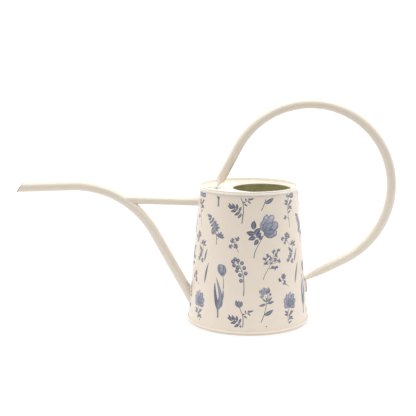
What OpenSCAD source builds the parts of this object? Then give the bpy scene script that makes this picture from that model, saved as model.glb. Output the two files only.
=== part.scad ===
// Watering can: a tapered sheet steel body with rolled seams, a long bent spout held by a
// straight brace, and one large looped handle. Millimetres, +Z up. The origin is on the ground
// on the body's axis. The spout points to -X and the handle to +X.

/* [Body] */
// Outside diameter of the rolled base seam
base_d = 130; // [124:1:136]
// Outside diameter of the rolled top rim
rim_d = 104.4; // [100:0.2:110]
// Height from the ground to the top of the rim
body_h = 145.2; // [142:0.2:150]
// Thickness of the body and plate steel
sheet = 0.6; // [0.5:0.1:0.8]
// Height of the rolled seams at the base and the rim
seam_h = 4.3; // [4:0.1:5]
// How far the rolled seams stand out from the body wall
seam_proud = 1.3; // [1.2:0.1:1.6]
// Width of the side seam, where the body sheet laps over itself at the back
lap_w = 6; // [4:0.5:10]

/* [Filling hole] */
// Diameter of the hole in the top plate, inside its hem
fill_d = 60.6; // [50:0.2:62]
// Distance of the hole's centre from the body's axis, towards the handle
fill_x = 13.8; // [8:0.1:14]
// Height of the turned hem around the hole
hem_h = 1.6; // [1.4:0.1:2.4]

/* [Spout] */
// Outside diameter of the spout tube
spout_d = 10.5; // [9:0.1:12]
// Wall thickness of the spout tube
spout_wall = 0.8; // [0.6:0.1:1]
// Height at which the spout's axis meets the body wall
spout_foot_z = 24.6; // [20:0.2:30]
// Steepness of the lower spout, above level
spout_angle = 61.3; // [58:0.1:64]
// Length of the straight lower spout
spout_rise = 79.2; // [70:0.2:85]
// Radius of the long bend
spout_bend_r = 95.5; // [90:0.5:105]
// Angle of the long bend
spout_bend = 63; // [60:0.5:65]
// Length of the nearly level stretch, up to the middle of the mouth
spout_tip = 54; // [40:0.5:70]
// Slope of the mouth's bevelled cut, above level
mouth_angle = 54; // [45:1:80]

/* [Brace] */
// Outside diameter of the brace tube
brace_d = 8.8; // [7:0.1:9.5]
// Height at which the brace meets the body wall
brace_z = 126.5; // [122:0.1:130]
// Slope of the brace, up towards the spout
brace_angle = 1.8; // [0:0.1:4]
// Distance from the body's axis to the spout, along the brace
brace_reach = 130; // [124:0.5:132]

/* [Handle] */
// Outside diameter of the handle tube
handle_d = 10; // [9:0.1:12]
// Wall thickness of the handle tube
handle_wall = 0.9; // [0.8:0.1:1.2]
// Width of the flattened tube ends
tab_w = 14; // [12:0.5:14.5]
// Height of the lower tab's end above the ground
lower_tab_z = 29.3; // [26:0.1:30]
// Length of the lower tab, up to its fold
lower_tab_run = 12.8; // [10:0.1:14]
// Length of the upper tab, from its fold
upper_tab_run = 8; // [6:0.5:9]
// Inside radius of the folds at both tabs
fold_r = 1.6; // [1.2:0.2:4]
// Length over which the tube goes from flat to round
flare_run = 12; // [10:0.5:16]
// Steepness of the tube as it leaves the lower fold
handle_angle = 27; // [25:0.5:29]
// Length of the straight round tube below the loop
handle_run = 33; // [28:0.5:36]
// Bend radius and angle of the loop's outer part
outer_r = 87; // [84:0.5:90]
outer_turn = 131; // [128:0.5:134]
// Bend radius and angle of the loop's upper part
upper_r = 85; // [82:0.5:88]
upper_turn = 84; // [82:0.5:86]

/* [Hidden] */
$fn = 96;

cream = [0.88, 0.84, 0.77];
steel = [0.62, 0.62, 0.60];

// The wall is a plain cone: its outer radius at a height, and its lean from upright
base_wall_r = base_d / 2 - seam_proud;
rim_wall_r = rim_d / 2 - seam_proud;
wall_lean = atan((base_wall_r - rim_wall_r) / body_h);
function wall_r(z) = base_wall_r + (rim_wall_r - base_wall_r) * z / body_h;

// Surfaces that would coincide are kept this far apart, and joined stretches lap by this much
nest = 0.02;
lap = 0.4;

// Each seam folds the plate's edge round the wall's edge, which ends short of the fold
fold_floor = 1;
seal_h = 0.6;
seam_round = 1.1;
seam_inner_lip = 0.7;
wall_foot = fold_floor + seal_h;
wall_head = body_h - fold_floor;
plate_top_z = body_h - seam_h + sheet;

// Weld beads reach this far from the surfaces that they join
bead = 1.3;
tab_bead = 0.8;

// Wall thickness of the brace tube
brace_wall = 0.8;

// The tubes' runs are lists of stretches, each [length, 0] when straight, or
// [bend radius, turn] when bent, with a turn to the left as positive
past_wall = 8;
spout_foot = [-wall_r(spout_foot_z), spout_foot_z];
spout_heading = 180 - spout_angle;
spout_bore_r = spout_d / 2 - spout_wall;

tab_t = 2 * handle_wall;
tab_gap = 0.1;
fold_mid_r = fold_r + tab_t / 2;
tab_heading = 90 + wall_lean;
lower_fold = tab_heading - handle_angle;
loop_heading = handle_angle + outer_turn + upper_turn;
upper_fold = loop_heading - 180;
loop_stretches = [[handle_run, 0], [outer_r, outer_turn], [upper_r, upper_turn]];

// The end of one stretch that starts at point p with a heading, and of a whole run
function ahead(p, heading, d) = p + d * [cos(heading), sin(heading)];
function after(p, heading, s) =
    s[1] == 0 ? ahead(p, heading, s[0])
    : let (side = s[1] > 0 ? 90 : -90)
      ahead(ahead(p, heading + side, s[0]), heading + s[1] - side, s[0]);
function run_end(p, heading, stretches, n = 0) =
    n == len(stretches) ? p
    : run_end(after(p, heading, stretches[n]), heading + stretches[n][1], stretches, n + 1);

// The handle's points, from the lower tab to the upper one
lower_tab_end = [wall_r(lower_tab_z) + (tab_gap + tab_t / 2) / cos(wall_lean), lower_tab_z];
lower_fold_start = ahead(lower_tab_end, tab_heading, lower_tab_run);
lower_fold_end = after(lower_fold_start, tab_heading, [fold_mid_r, -lower_fold]);
loop_start = ahead(lower_fold_end, handle_angle, flare_run);
loop_end = run_end(loop_start, handle_angle, loop_stretches);

// The last round stretch is as long as it must be for the upper tab to lie on the top plate
upper_fold_z = plate_top_z + tab_gap + tab_t / 2 + fold_mid_r * (1 - cos(upper_fold));
fall = loop_end[1] - upper_fold_z;
handle_fall = fall / -sin(loop_heading) - flare_run;
upper_flare_start = ahead(loop_end, loop_heading, handle_fall);
upper_fold_start = ahead(upper_flare_start, loop_heading, flare_run);
upper_tab_start = after(upper_fold_start, loop_heading, [fold_mid_r, -upper_fold]);

// Puts a shape drawn along +X in the flat at a point and heading of the upright X-Z plane
module along(p, heading) {
    translate([p[0], 0, p[1]]) rotate([0, -heading, 0]) rotate([90, 0, 0]) children();
}

module straight_rod(length, r) {
    rotate([0, 90, 0]) cylinder(r = r, h = length);
}

// Sweeps a section about the bend's centre; the child is its profile at the origin. The sweep
// starts early and ends late by the lead angle.
module bent(bend_r, turn, lead = 0) {
    side = turn > 0 ? 1 : -1;
    translate([0, side * bend_r, 0])
        rotate([0, 0, (turn > 0 ? -90 : 90 + turn) - lead])
            rotate_extrude(angle = abs(turn) + 2 * lead)
                translate([bend_r, 0]) children();
}

// A round rod that follows a run of stretches. Every second stretch is fuller by the nesting
// distance, and the slimmer ones lap into their neighbours, so that each joint is a clean edge.
module rod_run(p, heading, stretches, r, n = 0) {
    if (n < len(stretches)) {
        s = stretches[n];
        reach = n % 2 == 0 ? lap : 0;
        this_r = n % 2 == 0 ? r : r + nest;
        along(p, heading) {
            if (s[1] == 0) translate([-reach, 0, 0]) straight_rod(s[0] + 2 * reach, this_r);
            else bent(s[0], s[1], reach / s[0] * 180 / PI) circle(r = this_r);
        }
        rod_run(after(p, heading, s), heading + s[1], stretches, r, n + 1);
    }
}

// The solid cone inside the wall's outer surface, moved in by the inset
module wall_cone(inset, z0, z1) {
    translate([0, 0, z0])
        cylinder(r1 = wall_r(z0) - inset, r2 = wall_r(z1) - inset, h = z1 - z0);
}

// A layer of the wall between two insets
module wall_layer(outer_inset, inner_inset, z0, z1) {
    difference() {
        wall_cone(outer_inset, z0, z1);
        wall_cone(inner_inset, z0 - 1, z1 + 1);
    }
}

// Half section of a rolled seam standing on the ground: outer edge rounded, inner edge square
module seam_profile(outer_r, inner_r) {
    core_r = outer_r - seam_round;
    translate([inner_r, 0]) square([core_r - inner_r, seam_h]);
    translate([core_r, seam_round]) square([seam_round, seam_h - 2 * seam_round]);
    for (z = [seam_round, seam_h - seam_round])
        translate([core_r, z]) circle(r = seam_round);
}

// The spout's run as a rod, from inside the body to past the mouth
module spout_rod(r) {
    rod_run(ahead(spout_foot, spout_heading, -past_wall), spout_heading,
            [[past_wall + spout_rise, 0], [spout_bend_r, spout_bend], [spout_tip + spout_d, 0]],
            r);
}

// Everything beyond the bevelled cut across the mouth
module beyond_mouth() {
    mouth = run_end(spout_foot, spout_heading,
                    [[spout_rise, 0], [spout_bend_r, spout_bend], [spout_tip, 0]]);
    size = 4 * spout_d;
    translate([mouth[0], 0, mouth[1]])
        rotate([0, -mouth_angle, 0])
            translate([-size / 2, -size / 2, 0]) cube(size);
}

module brace_rod(r) {
    translate([-wall_r(brace_z), 0, brace_z])
        rotate([0, brace_angle, 0])
            translate([-(brace_reach - wall_r(brace_z)), 0, 0])
                straight_rod(brace_reach - wall_r(brace_z) + past_wall, r);
}

// A flattened tube's section, thin in the bend's plane; slim by the nesting distance when lapping
module tab_section(slim = 0) {
    square([tab_t - 2 * slim, tab_w - 2 * slim], center = true);
}

// A flat tab along +X from its rounded free end, lapping into the fold at its other end
module tab(length) {
    corner = 4;
    difference() {
        rotate([90, 0, 90]) linear_extrude(length + lap) tab_section(nest);
        for (side = [-1, 1])
            translate([0, 0, side * (tab_w / 2 - corner)])
                difference() {
                    translate([-1, -tab_t, side > 0 ? 0 : -corner - 1])
                        cube([corner + 1, 2 * tab_t, corner + 1]);
                    translate([corner, 2 * tab_t, 0])
                        rotate([90, 0, 0]) cylinder(r = corner, h = 4 * tab_t);
                }
    }
}

// The stretch where the tube goes from flat, at the origin, to round: a cone pressed by a wedge.
// The skin is the distance in from the tube's outer surface.
module flare(skin, start) {
    round_r = handle_d / 2 - skin - nest;
    flat_half = tab_t / 2 - skin - 2 * nest;
    reach = flare_run + lap;
    slope = (handle_d / 2 + lap - tab_t / 2) / (flare_run - 2 * lap);
    taper = (tab_w / 2 - lap / 2 - handle_d / 2) / flare_run;
    intersection() {
        translate([start, 0, 0]) rotate([0, 90, 0])
            cylinder(r1 = round_r + taper * (flare_run - start), r2 = round_r - taper * lap,
                     h = reach - start);
        translate([0, 0, -tab_w]) linear_extrude(2 * tab_w)
            polygon([for (end = [[start, -1], [reach, -1], [reach, 1], [start, 1]])
                     [end[0], end[1] * (flat_half + slope * end[0])]]);
    }
}

module body_shell() {
    color(cream) difference() {
        union() {
            wall_layer(0, sheet, wall_foot, wall_head);
            side_lap();
        }
        along(ahead(spout_foot, spout_heading, -past_wall), spout_heading)
            straight_rod(2 * past_wall, spout_bore_r);
    }
}

// The inner layer of the lapped side seam, between the two end plates
module side_lap() {
    clear = 0.3;
    intersection() {
        wall_layer(sheet / 2, 2 * sheet, seam_h + clear, body_h - seam_h - clear);
        translate([-lap_w / 2, 0, 0]) cube([lap_w, base_d, body_h]);
    }
}

module base_plate() {
    inner_r = wall_r(0) - sheet - seam_inner_lip;
    color(cream) difference() {
        union() {
            rotate_extrude() seam_profile(base_d / 2, inner_r);
            translate([0, 0, seam_h - sheet]) cylinder(r = inner_r + sheet / 2, h = sheet);
        }
        wall_layer(0, sheet, fold_floor, seam_h + 1);
    }
}

module base_seal() {
    color(steel) wall_layer(0, sheet, fold_floor, wall_foot);
}

module top_plate() {
    inner_r = wall_r(body_h - seam_h) - sheet - seam_inner_lip;
    color(cream) difference() {
        union() {
            translate([0, 0, body_h]) mirror([0, 0, 1])
                rotate_extrude() seam_profile(rim_d / 2, inner_r);
            translate([0, 0, plate_top_z - sheet]) cylinder(r = inner_r + sheet / 2, h = sheet);
            translate([fill_x, 0, plate_top_z - hem_h])
                cylinder(d = fill_d + 2 * sheet, h = hem_h);
        }
        translate([fill_x, 0, plate_top_z - 2 * hem_h]) cylinder(d = fill_d, h = 4 * hem_h);
        wall_layer(0, sheet, body_h - seam_h - 1, wall_head);
    }
}

module spout_tube() {
    color(cream) difference() {
        spout_rod(spout_d / 2);
        spout_rod(spout_bore_r);
        wall_cone(0, 0, wall_head);
        beyond_mouth();
    }
}

// Fillet of filler metal where the spout meets the wall
module spout_weld() {
    color(cream) difference() {
        intersection() {
            along(spout_foot, spout_heading)
                translate([-past_wall, 0, 0]) straight_rod(3 * past_wall, spout_d / 2 + bead);
            wall_cone(-bead, seam_h, wall_head);
        }
        spout_rod(spout_d / 2);
        wall_cone(0, 0, wall_head);
    }
}

module brace_tube() {
    color(cream) difference() {
        brace_rod(brace_d / 2);
        brace_rod(brace_d / 2 - brace_wall);
        spout_rod(spout_d / 2);
        wall_cone(0, 0, wall_head);
    }
}

module brace_spout_weld() {
    color(cream) difference() {
        intersection() {
            brace_rod(brace_d / 2 + bead);
            spout_rod(spout_d / 2 + bead);
        }
        brace_rod(brace_d / 2);
        spout_rod(spout_d / 2);
    }
}

module brace_body_weld() {
    color(cream) difference() {
        intersection() {
            brace_rod(brace_d / 2 + bead);
            wall_cone(-bead, seam_h, wall_head);
        }
        brace_rod(brace_d / 2);
        wall_cone(0, 0, wall_head);
    }
}

// The handle's round loop, shrunk by the skin
module loop_rod(skin) {
    rod_run(loop_start, handle_angle, concat(loop_stretches, [[handle_fall, 0]]),
            handle_d / 2 - skin);
}

module handle_tube() {
    cavity_start = 2;
    color(cream) {
        difference() {
            union() {
                loop_rod(0);
                along(lower_fold_end, handle_angle) flare(0, -lap);
                along(upper_fold_start, loop_heading + 180) flare(0, -lap);
            }
            loop_rod(handle_wall);
            along(lower_fold_end, handle_angle) flare(handle_wall, cavity_start);
            along(upper_fold_start, loop_heading + 180) flare(handle_wall, cavity_start);
        }
        along(lower_fold_start, tab_heading) bent(fold_mid_r, -lower_fold) tab_section();
        along(upper_fold_start, loop_heading) bent(fold_mid_r, -upper_fold) tab_section();
        along(lower_tab_end, tab_heading) tab(lower_tab_run);
        along(ahead(upper_tab_start, 180, upper_tab_run), 0) tab(upper_tab_run);
    }
}

// Filler metal under the tab on the top plate, with a bead along the tab's edges
module handle_upper_weld() {
    tab_end = ahead(upper_tab_start, 180, upper_tab_run);
    color(cream) difference() {
        translate([tab_end[0] - tab_bead, -tab_w / 2 - tab_bead, plate_top_z])
            cube([upper_tab_run + tab_bead, tab_w + 2 * tab_bead, tab_gap + tab_t / 2]);
        translate([tab_end[0], -tab_w / 2, plate_top_z + tab_gap])
            cube([upper_tab_run + 1, tab_w, tab_t]);
    }
}

// Filler metal between the flat lower tab and the round wall behind it, with the same bead
module handle_lower_weld() {
    depth = 2 * tab_t;
    color(cream) difference() {
        along(lower_tab_end, tab_heading)
            translate([-tab_bead, 0, -tab_w / 2 - tab_bead])
                cube([lower_tab_run + tab_bead, depth, tab_w + 2 * tab_bead]);
        along(lower_tab_end, tab_heading)
            translate([0, -depth, -tab_w / 2]) cube([lower_tab_run + 1, depth + tab_t / 2, tab_w]);
        wall_cone(0, 0, wall_head, $fn = 240);
    }
}

body_shell();
base_plate();
base_seal();
top_plate();
spout_tube();
spout_weld();
brace_tube();
brace_spout_weld();
brace_body_weld();
handle_tube();
handle_upper_weld();
handle_lower_weld();
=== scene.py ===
"""The looks of a printed enamel watering can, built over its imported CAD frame.

Lengths in the helpers are millimetres, +Z up, the spout to -X and the handle to +X, as in the CAD.
Meshes are made in metres in the same place.
"""

import math

import bpy
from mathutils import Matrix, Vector

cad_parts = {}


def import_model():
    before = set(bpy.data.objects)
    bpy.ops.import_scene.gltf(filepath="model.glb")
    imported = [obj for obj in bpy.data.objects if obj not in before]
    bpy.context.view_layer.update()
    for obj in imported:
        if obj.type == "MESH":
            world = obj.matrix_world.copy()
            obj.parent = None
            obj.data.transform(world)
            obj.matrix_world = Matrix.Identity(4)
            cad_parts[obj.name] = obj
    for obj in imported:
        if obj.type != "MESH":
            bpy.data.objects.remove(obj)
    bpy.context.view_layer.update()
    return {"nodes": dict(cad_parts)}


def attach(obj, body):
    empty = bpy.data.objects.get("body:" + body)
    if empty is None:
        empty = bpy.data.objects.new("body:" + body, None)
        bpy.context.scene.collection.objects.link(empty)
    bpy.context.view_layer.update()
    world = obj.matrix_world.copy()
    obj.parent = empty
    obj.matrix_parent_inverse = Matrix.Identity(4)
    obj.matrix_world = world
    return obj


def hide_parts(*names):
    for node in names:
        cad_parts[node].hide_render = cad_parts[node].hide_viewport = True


MM = 0.001

# The body
BASE_R = 64.99
RIM_R = 52.2
BODY_H = 145.2
SHEET = 0.6
SEAM_H = 4.3
SEAM_PROUD = 1.3
LIP = 0.7
LAP_W = 6.0
LAP_STEP = 0.28
FOOT_FLARE = 0.3
FOOT_FLARE_H = 6
PLATE_TOP = BODY_H - SEAM_H + SHEET
FILL_R = 30.3
FILL_X = 13.8
FOOT_WALL_R = BASE_R - SEAM_PROUD
HEAD_WALL_R = RIM_R - SEAM_PROUD
LEAN = math.atan((FOOT_WALL_R - HEAD_WALL_R) / BODY_H)

# The spout
SPOUT_R = 5.25
SPOUT_WALL = 0.8
SPOUT_FOOT_Z = 24.6
SPOUT_HEADING = 180 - 61.3
SPOUT_RUN = [(79.2, 0), (95.5, 63), (54, 0)]
MOUTH_ANGLE = 54

# The brace
BRACE_R = 4.4
BRACE_WALL = 0.8
BRACE_Z = 126.5
BRACE_ANGLE = 1.8
BRACE_REACH = 130

# The handle
HANDLE_R = 4.98
HANDLE_WALL = 0.9
TAB_W = 14.0
TAB_T = 2 * HANDLE_WALL
TAB_GAP = 0.1
TAB_BEAD = 0.8
LOWER_TAB_Z = 29.3
LOWER_TAB_RUN = 12.8
UPPER_TAB_RUN = 8.0
FOLD_R = 1.6 + TAB_T / 2
FLARE_RUN = 12.0
UPPER_FLARE = 8.5
HANDLE_ANGLE = 27.0
HANDLE_RUN = [(33.0, 0), (87.0, 131.0), (85.0, 84.0)]

# How far the end of a tube reaches into what it meets
HIDDEN = 0.3

# The studio: how bright the sky is on each side, the floor's paleness in front of, round and
# behind the can, the floor's own glow and the power of the lamps
SKY_FRONT = 0.27
SKY_BACK = 1.14
SKY_TOP = 0.5
FLOOR_FRONT = 0.045
FLOOR_NEAR = 0.29
FLOOR_BACK = 0.34
FLOOR_GLOW = 2.2
OVERHEAD = 1.6
STRIP = 3.4

# The camera: its lens and sensor, its place in metres and how many degrees it looks down
LENS, SENSOR = 82.45, 36
CAMERA_AT = (-0.04267, -0.98856, 0.29802)
LOOKS_DOWN = 10.2215


def wall_r(z):
    """Radius of the wall's outer surface at a height: a cone with a slight flare at its foot."""
    flare = FOOT_FLARE * max(0.0, 1 - max(z - SEAM_H, 0) / FOOT_FLARE_H) ** 2
    return FOOT_WALL_R + (HEAD_WALL_R - FOOT_WALL_R) * z / BODY_H + flare


def smooth(t):
    t = min(max(t, 0.0), 1.0)
    return t * t * (3 - 2 * t)


def mix(a, b, t):
    return a + (b - a) * t


def angles(count):
    return [2 * math.pi * k / count for k in range(count)]


# ---- meshes


def add_mesh(name, verts, faces, materials, face_material=None, sharp=35):
    mesh = bpy.data.meshes.new(name)
    mesh.from_pydata([(x * MM, y * MM, z * MM) for x, y, z in verts], [], faces)
    mesh.update()
    for m in materials:
        mesh.materials.append(m)
    if face_material is not None:
        mesh.polygons.foreach_set("material_index", face_material)
    mesh.polygons.foreach_set("use_smooth", [True] * len(mesh.polygons))
    mesh.set_sharp_from_angle(angle=math.radians(sharp))
    obj = bpy.data.objects.new(name, mesh)
    bpy.context.scene.collection.objects.link(obj)
    return obj


def grid(rings, capped=False):
    """Faces between rings of points, each a closed loop of the same count.

    The last ring joins the first, unless the two are capped instead.
    """
    n = len(rings[0])
    verts = [p for ring in rings for p in ring]
    faces = []
    for i in range(len(rings) - 1 if capped else len(rings)):
        a, b = i * n, (i + 1) % len(rings) * n
        for k in range(n):
            m = (k + 1) % n
            faces.append((a + k, a + m, b + m, b + k))
    if capped:
        last = (len(rings) - 1) * n
        faces += [tuple(range(n - 1, -1, -1)), tuple(range(last, last + n))]
    return verts, faces


def corner(path):
    """A profile with rounded corners: each entry is (r, z) or (r, z, fillet radius)."""
    out = []
    n, steps = len(path), 6
    for i, entry in enumerate(path):
        r = entry[2] if len(entry) > 2 else 0
        here = Vector(entry[:2])
        if r == 0:
            out.append(tuple(here))
            continue
        before, after = Vector(path[i - 1][:2]), Vector(path[(i + 1) % n][:2])
        a, b = (before - here).normalized(), (after - here).normalized()
        half = math.acos(max(-1, min(1, a.dot(b)))) / 2
        reach = r / math.tan(half)
        centre = here + (a + b).normalized() * (r / math.sin(half))
        p, q = here + a * reach - centre, here + b * reach - centre
        turn = math.atan2(p.x * q.y - p.y * q.x, p.dot(q))
        for k in range(steps + 1):
            t = turn * k / steps
            c, s = math.cos(t), math.sin(t)
            out.append(tuple(centre + Vector((p.x * c - p.y * s, p.x * s + p.y * c))))
    return out


def turned(name, profile, materials, face_slot=None):
    """A lathe of a closed profile of (r, z) or (r, z, centre x) points."""
    segments = 256
    rings = []
    for entry in profile:
        r, z = entry[:2]
        cx = entry[2] if len(entry) > 2 else 0
        rings.append([(cx + r * math.cos(t), r * math.sin(t), z) for t in angles(segments)])
    verts, faces = grid(rings)
    slots = None
    if face_slot is not None:
        slots = [face_slot(i // segments) for i in range(len(faces))]
    return add_mesh(name, verts, faces, materials, slots)


# ---- runs of tube


def ahead(p, heading, d):
    a = math.radians(heading)
    return (p[0] + d * math.cos(a), p[1] + d * math.sin(a))


def run_points(p, heading, stretches, step):
    """Centre points, headings and lengths along a run of (length, 0) or (bend radius, turn)."""
    out = [(p, heading, 0.0)]
    done = 0.0
    for size, turn in stretches:
        if turn == 0:
            n = max(1, round(size / step))
            out += [(ahead(p, heading, size * k / n), heading, done + size * k / n)
                    for k in range(1, n + 1)]
            p = ahead(p, heading, size)
            done += size
            continue
        side = 90 if turn > 0 else -90
        centre = ahead(p, heading + side, size)
        length = size * math.radians(abs(turn))
        n = max(2, round(length / step), round(abs(turn) / 3))
        for k in range(1, n + 1):
            h = heading + turn * k / n
            out.append((ahead(centre, h - side, size), h, done + length * k / n))
        p, heading = out[-1][0], heading + turn
        done += length
    return out


def ring_at(station, half_t, half_w, power, segments):
    """A section across a run: half_t in the plane of the bends, half_w across it (along Y)."""
    (x, z), heading, _ = station
    a = math.radians(heading)
    ring = []
    for t in angles(segments):
        c, s = math.cos(t), math.sin(t)
        across = half_w * math.copysign(abs(c) ** (2 / power), c)
        up = half_t * math.copysign(abs(s) ** (2 / power), s)
        ring.append((x - up * math.sin(a), across, z + up * math.cos(a)))
    return ring


def line_point(p, heading, angle, r, d):
    """The point d along a straight tube's surface line at an angle about its axis."""
    x, z = ahead(p, heading, d)
    a = math.radians(heading)
    up = r * math.sin(angle)
    return Vector((x - up * math.sin(a), r * math.cos(angle), z + up * math.cos(a)))


def meet(gap, lo, hi):
    """Where gap(d) changes from positive to negative between lo and hi."""
    for _ in range(40):
        mid = (lo + hi) / 2
        if gap(mid) > 0:
            lo = mid
        else:
            hi = mid
    return (lo + hi) / 2


def wall_gap(p):
    """Distance of a point outside the wall's outer surface, measured level."""
    return math.hypot(p.x, p.y) - wall_r(p.z)


def on_wall(p, proud=0.0):
    r = wall_r(p.z) + proud
    d = math.hypot(p.x, p.y)
    return Vector((p.x * r / d, p.y * r / d, p.z))


def wall_at(start, heading, angle, r):
    """How far along a tube's surface line, from its start, it is HIDDEN deep in the wall."""
    return -meet(lambda d: wall_gap(line_point(start, heading, angle, r, -d)) + HIDDEN, -20, 20)


SPOUT_FOOT = (-wall_r(SPOUT_FOOT_Z), SPOUT_FOOT_Z)


def spout_stations(step):
    return run_points(SPOUT_FOOT, SPOUT_HEADING, SPOUT_RUN, step)


SPOUT_LINE = [Vector((p[0], 0, p[1])) for p, _, _ in spout_stations(0.5)]


def spout_centre(p):
    """The nearest point of the spout's axis."""
    return min(SPOUT_LINE, key=lambda c: (c - p).length_squared)


def spout_gap(p):
    return (p - spout_centre(p)).length - SPOUT_R


def on_spout(p, proud=0.0):
    c = spout_centre(p)
    return c + (p - c).normalized() * (SPOUT_R + proud)


def weld_bead(name, start, heading, r, far, gap, settle, tube_reach, face_reach, material):
    """A bead of filler round the joint of a straight tube with a surface.

    The tube runs from far towards its start; gap() is the distance from the surface and settle()
    moves a point onto it. Reaches are functions of the angle about the tube.
    """
    steps, tucked, buried, ripple_h = 10, 0.04, 0.3, 0.06
    axis_a, axis_b = ahead(start, heading, 0), ahead(start, heading, far)
    axis = Vector((axis_b[0] - axis_a[0], 0, axis_b[1] - axis_a[1])).normalized()
    origin = Vector((axis_a[0], 0, axis_a[1]))
    sections = []
    for t in angles(96):
        joint_d = -meet(lambda d: gap(line_point(start, heading, t, r, -d)), -far, far)
        joint = line_point(start, heading, t, r, joint_d)
        on_tube = line_point(start, heading, t, r - tucked, joint_d + tube_reach(t))
        off = joint - origin
        out = (off - axis * off.dot(axis)).normalized()
        on_face = settle(settle(joint + out * face_reach(t)), -tucked)
        section = []
        for i in range(steps + 1):
            u = i / steps
            p = on_tube * (1 - u) ** 2 + joint * (2 * u * (1 - u)) + on_face * u ** 2
            ripple = ripple_h * math.sin(math.pi * u) * math.sin(9 * t + 2 * math.sin(3 * t))
            section.append(p + out * ripple)
        section.append(settle(on_face, -buried))
        section.append(line_point(start, heading, t, r - buried, joint_d - 0.2))
        section.append(line_point(start, heading, t, r - buried, joint_d + tube_reach(t) * 0.9))
        sections.append([tuple(p) for p in section])
    verts, faces = grid(sections)
    return add_mesh(name, verts, faces, [material], sharp=50)


# ---- materials


def new_material(name):
    m = bpy.data.materials.new(name)
    m.use_nodes = True
    nodes, links = m.node_tree.nodes, m.node_tree.links
    shader = nodes["Principled BSDF"]
    return m, nodes, links, shader


def put(node, values):
    for name, value in values.items():
        node.inputs[name].default_value = value


def noise_node(nodes, links, scale, detail, roughness=0.5):
    place = nodes.new("ShaderNodeTexCoord")
    tex = nodes.new("ShaderNodeTexNoise")
    put(tex, {"Scale": scale, "Detail": detail, "Roughness": roughness})
    links.new(place.outputs["Object"], tex.inputs["Vector"])
    return tex


def ramp_node(nodes, links, source, low, high, at=(0.3, 0.7)):
    ramp = nodes.new("ShaderNodeValToRGB")
    for stop, position, colour in zip(ramp.color_ramp.elements, at, (low, high)):
        stop.position, stop.color = position, colour
    links.new(source, ramp.inputs["Fac"])
    return ramp


def grey(v):
    return (v, v, v, 1)


def lacquer(name, colour, spread, rough, coat, peel, grain=(90, 520)):
    """Sprayed enamel: faint cloudy colour, satin sheen that varies, and a fine orange peel."""
    m, nodes, links, shader = new_material(name)
    cloud = noise_node(nodes, links, grain[0], 3)
    low = tuple(c * (1 - spread) for c in colour) + (1,)
    high = tuple(min(1, c * (1 + spread)) for c in colour) + (1,)
    tint = ramp_node(nodes, links, cloud.outputs["Fac"], low, high)
    links.new(tint.outputs["Color"], shader.inputs["Base Color"])
    sheen = noise_node(nodes, links, grain[0] * 2.3, 4)
    level = ramp_node(nodes, links, sheen.outputs["Fac"], grey(rough - 0.05), grey(rough + 0.07))
    links.new(level.outputs["Color"], shader.inputs["Roughness"])
    skin = noise_node(nodes, links, grain[1], 2)
    bump = nodes.new("ShaderNodeBump")
    put(bump, {"Strength": peel, "Distance": 0.0002})
    links.new(skin.outputs["Fac"], bump.inputs["Height"])
    links.new(bump.outputs["Normal"], shader.inputs["Normal"])
    put(shader, {"Coat Weight": coat, "Coat Roughness": 0.14})
    return m


def linear(r, g, b):
    """A linear colour from a display colour of 0 to 255."""
    return tuple(((c / 255 + 0.055) / 1.055) ** 2.4 for c in (r, g, b))


def make_materials():
    cream = linear(240, 227, 211)
    # The tubes' enamel is the body's paint made a little darker: painted shade for how the tubes
    # are shaded
    tube = linear(234, 223, 206)
    # Whiter enamel for the rim: a painted highlight on the rolled rim
    rim = linear(251, 243, 230)
    found = {
        "enamel": lacquer("enamel_body", cream, 0.012, 0.38, 0.25, 0.25),
        "enamel_ends": lacquer("enamel_ends", cream, 0.012, 0.36, 0.9, 0.25),
        "rim_enamel_painted_highlight": lacquer("rim_enamel_painted_highlight", rim, 0.01, 0.3, 1.0, 0.2),
        "enamel_tube": lacquer("enamel_tube", tube, 0.014, 0.33, 1.0, 0.3, (120, 700)),
        # Dark olive for the lower tab's edges: painted shade where those edges sit in shadow
        "edge": lacquer("tab_edge_painted_shade", linear(122, 114, 86), 0.06, 0.5, 0.2, 0.4),
        # Grey darker than the enamel for the spout's mouth lip: painted shade for the shadowed
        # bore past the cut
        "cut": lacquer("mouth_lip_painted_shade", linear(160, 155, 158), 0.05, 0.5, 0.2, 0.3),
        "lining": lacquer("lining_olive", linear(252, 250, 216), 0.05, 0.5, 0.1, 0.4),
    }
    m, nodes, links, shader = new_material("print_ink")
    tone = nodes.new("ShaderNodeAttribute")
    tone.attribute_name = "tone"
    wash = noise_node(nodes, links, 260, 4, 0.6)
    uneven = nodes.new("ShaderNodeMath")
    uneven.operation = "MULTIPLY_ADD"
    uneven.inputs[1].default_value = 0.5
    uneven.inputs[2].default_value = -0.25
    links.new(wash.outputs["Fac"], uneven.inputs[0])
    total = nodes.new("ShaderNodeMath")
    links.new(tone.outputs["Fac"], total.inputs[0])
    links.new(uneven.outputs["Value"], total.inputs[1])
    tint = ramp_node(nodes, links, total.outputs["Value"], linear(196, 198, 210) + (1,),
                     linear(82, 87, 107) + (1,), (0.0, 1.0))
    middle = tint.color_ramp.elements.new(0.5)
    middle.color = linear(141, 145, 163) + (1,)
    links.new(tint.outputs["Color"], shader.inputs["Base Color"])
    put(shader, {"Roughness": 0.5, "Coat Weight": 0.25, "Coat Roughness": 0.25})
    found["ink"] = m
    m, nodes, links, shader = new_material("seam_sealant")
    tone = noise_node(nodes, links, 300, 3)
    tint = ramp_node(nodes, links, tone.outputs["Fac"], grey(0.2), grey(0.28))
    links.new(tint.outputs["Color"], shader.inputs["Base Color"])
    put(shader, {"Roughness": 0.8})
    found["seal"] = m
    return found


# ---- the body


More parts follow.
